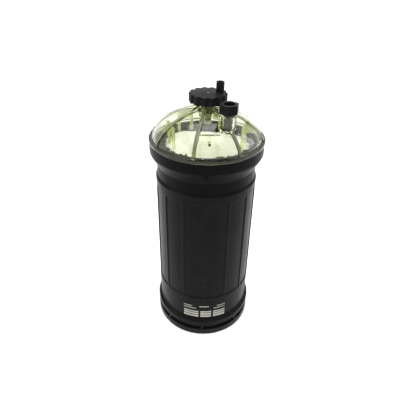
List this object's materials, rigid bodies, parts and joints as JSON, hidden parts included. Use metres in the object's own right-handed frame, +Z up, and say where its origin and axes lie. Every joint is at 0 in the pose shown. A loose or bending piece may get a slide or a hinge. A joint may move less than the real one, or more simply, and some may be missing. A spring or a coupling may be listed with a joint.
{
  "type": "magnetic system filter",
  "caption": "Cylindrical liquid filter with a ribbed black housing, clear domed collecting bowl, drain knob with hose nipple and a hex fitting; pleated element and magnet rod inside.",
  "frame": {"origin": "centre of the base collar's underside, on the surface it stands on", "axes": "+Z up along the housing's axis towards the clear bowl; -Y towards the side with the hex fitting; +X to the right"},
  "size_m": [0.114, 0.114, 0.2836],
  "materials": {
    "housing_plastic": "black glass-filled nylon, satin",
    "collar_plastic": "black glass-filled nylon, satin",
    "knob_plastic": "black nylon, satin",
    "fitting_plastic": "black nylon, satin",
    "cap_plastic": "dark grey nylon",
    "stem_plastic": "natural moulded polymer, milky",
    "bowl_plastic": "clear moulded polymer, faint yellow-green",
    "seal_rubber": "nitrile rubber",
    "foam_rubber": "closed-cell foam",
    "zinc_steel": "zinc plated, turned",
    "stainless": "drawn stainless",
    "plate_aluminium": "die cast, machined faces",
    "insert_metal": "turned",
    "magnet_nickel": "nickel plated",
    "pleat_paper": "resin treated pleated paper",
    "fleece": "white needled fleece"
  },
  "bodies": {
    "filter_body": {"filter_housing": "housing_plastic", "base_collar": "collar_plastic", "base_gasket": "seal_rubber", "thread_plate": "plate_aluminium", "thread_bush": "zinc_steel", "element_seal": "seal_rubber", "lower_end_cap": "cap_plastic", "pleated_media": "pleat_paper", "core_tube": "stainless", "inner_screen": "stainless", "upper_end_cap": "cap_plastic", "magnet_sleeve": "stainless", "magnet_stack": "magnet_nickel", "pole_discs": "zinc_steel", "magnet_plug": "cap_plastic", "fleece_pad": "fleece", "pad_gasket": "foam_rubber", "bowl_seal": "seal_rubber", "clear_bowl": "bowl_plastic", "port_insert": "insert_metal"},
    "drain_seal_lift": {"drain_seal": "seal_rubber", "stem_retainer": "stainless"},
    "drain_valve": {"drain_stem": "stem_plastic", "drain_knob": "knob_plastic", "knob_screw": "zinc_steel", "drain_nipple": "fitting_plastic"},
    "fitting_seal_lift": {"fitting_seal": "seal_rubber"},
    "fitting": {"port_fitting": "fitting_plastic"}
  },
  "joints": [
    {"name": "drain_lift", "type": "slide", "parent": "filter_body", "child": "drain_seal_lift", "axis": [0, 0, 1], "range_m": [0, 0.001]},
    {"name": "drain_turn", "type": "hinge", "parent": "drain_seal_lift", "child": "drain_valve", "pos_m": [0, 0, 0.2668], "axis": [0, 0, 1], "range_deg": [0, 180]},
    {"name": "fitting_lift", "type": "slide", "parent": "filter_body", "child": "fitting_seal_lift", "axis": [0, 0, 1], "range_m": [0, 0.0025]},
    {"name": "fitting_turn", "type": "hinge", "parent": "fitting_seal_lift", "child": "fitting", "pos_m": [0.01841, -0.02581, 0.2646], "axis": [0, 0, 1], "range_deg": [0, 720]}
  ],
  "couplings": [
    {"joint": "drain_lift", "follows": "drain_turn", "m_per_rad": 0.0003183},
    {"joint": "fitting_lift", "follows": "fitting_turn", "m_per_rad": 0.00019894}
  ]
}
